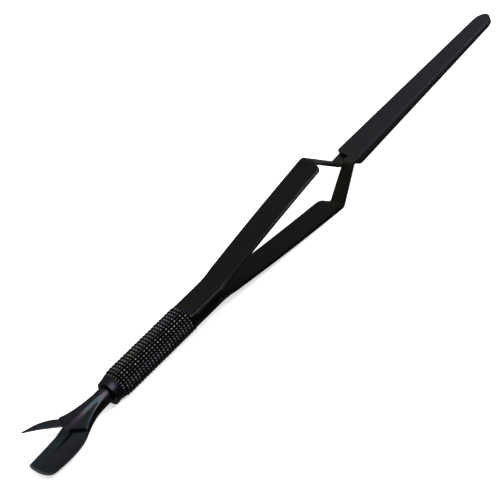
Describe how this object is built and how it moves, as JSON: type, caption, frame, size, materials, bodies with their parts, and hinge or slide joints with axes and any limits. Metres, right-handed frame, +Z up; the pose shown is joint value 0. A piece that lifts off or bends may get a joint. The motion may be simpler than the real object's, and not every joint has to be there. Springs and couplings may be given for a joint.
{
  "type": "cross-lock tweezers with scraper fork",
  "caption": "Self-closing cross-lock tweezers with bowed spring arms, long flat jaws, a knurled handle and a forked scraper at the far end.",
  "frame": {"origin": "centre of the bounding box's underside, the surface that the tool lies on", "axes": "+X along the tool from the scraper fork to the jaw tips, +Z up with the broad faces of the arms facing up and down, +Y to the side that the fork's prong points to. The tool's own axis rises 2.65 degrees towards the jaws, as it lies"},
  "size_m": [0.181, 0.0192, 0.0155],
  "materials": {
    "handle_steel": "black coated steel, satin, knurled",
    "fork_steel": "black coated steel, polished before coating",
    "strip_steel": "black coated spring steel, satin"
  },
  "bodies": {
    "handle": {"handle_barrel": "handle_steel", "fork_scoop": "fork_steel", "fork_prong": "fork_steel", "root_spacer": "strip_steel", "upper_arm_root": "strip_steel", "lower_arm_root": "strip_steel"},
    "arm_upper": {"upper_arm": "strip_steel"},
    "arm_lower": {"lower_arm": "strip_steel"}
  },
  "joints": [
    {"name": "upper_arm_flex", "type": "hinge", "parent": "handle", "child": "arm_upper", "pos_m": [-0.00938, -0.00239, 0.01004], "axis": [0, 1, 0], "range_deg": [0, 7], "stiffness_Nm_per_rad": 1.5, "springref_deg": -4.58},
    {"name": "lower_arm_flex", "type": "hinge", "parent": "handle", "child": "arm_lower", "pos_m": [-0.00904, -0.00239, 0.00288], "axis": [0, -1, 0], "range_deg": [0, 7], "stiffness_Nm_per_rad": 1.5, "springref_deg": -4.58}
  ]
}
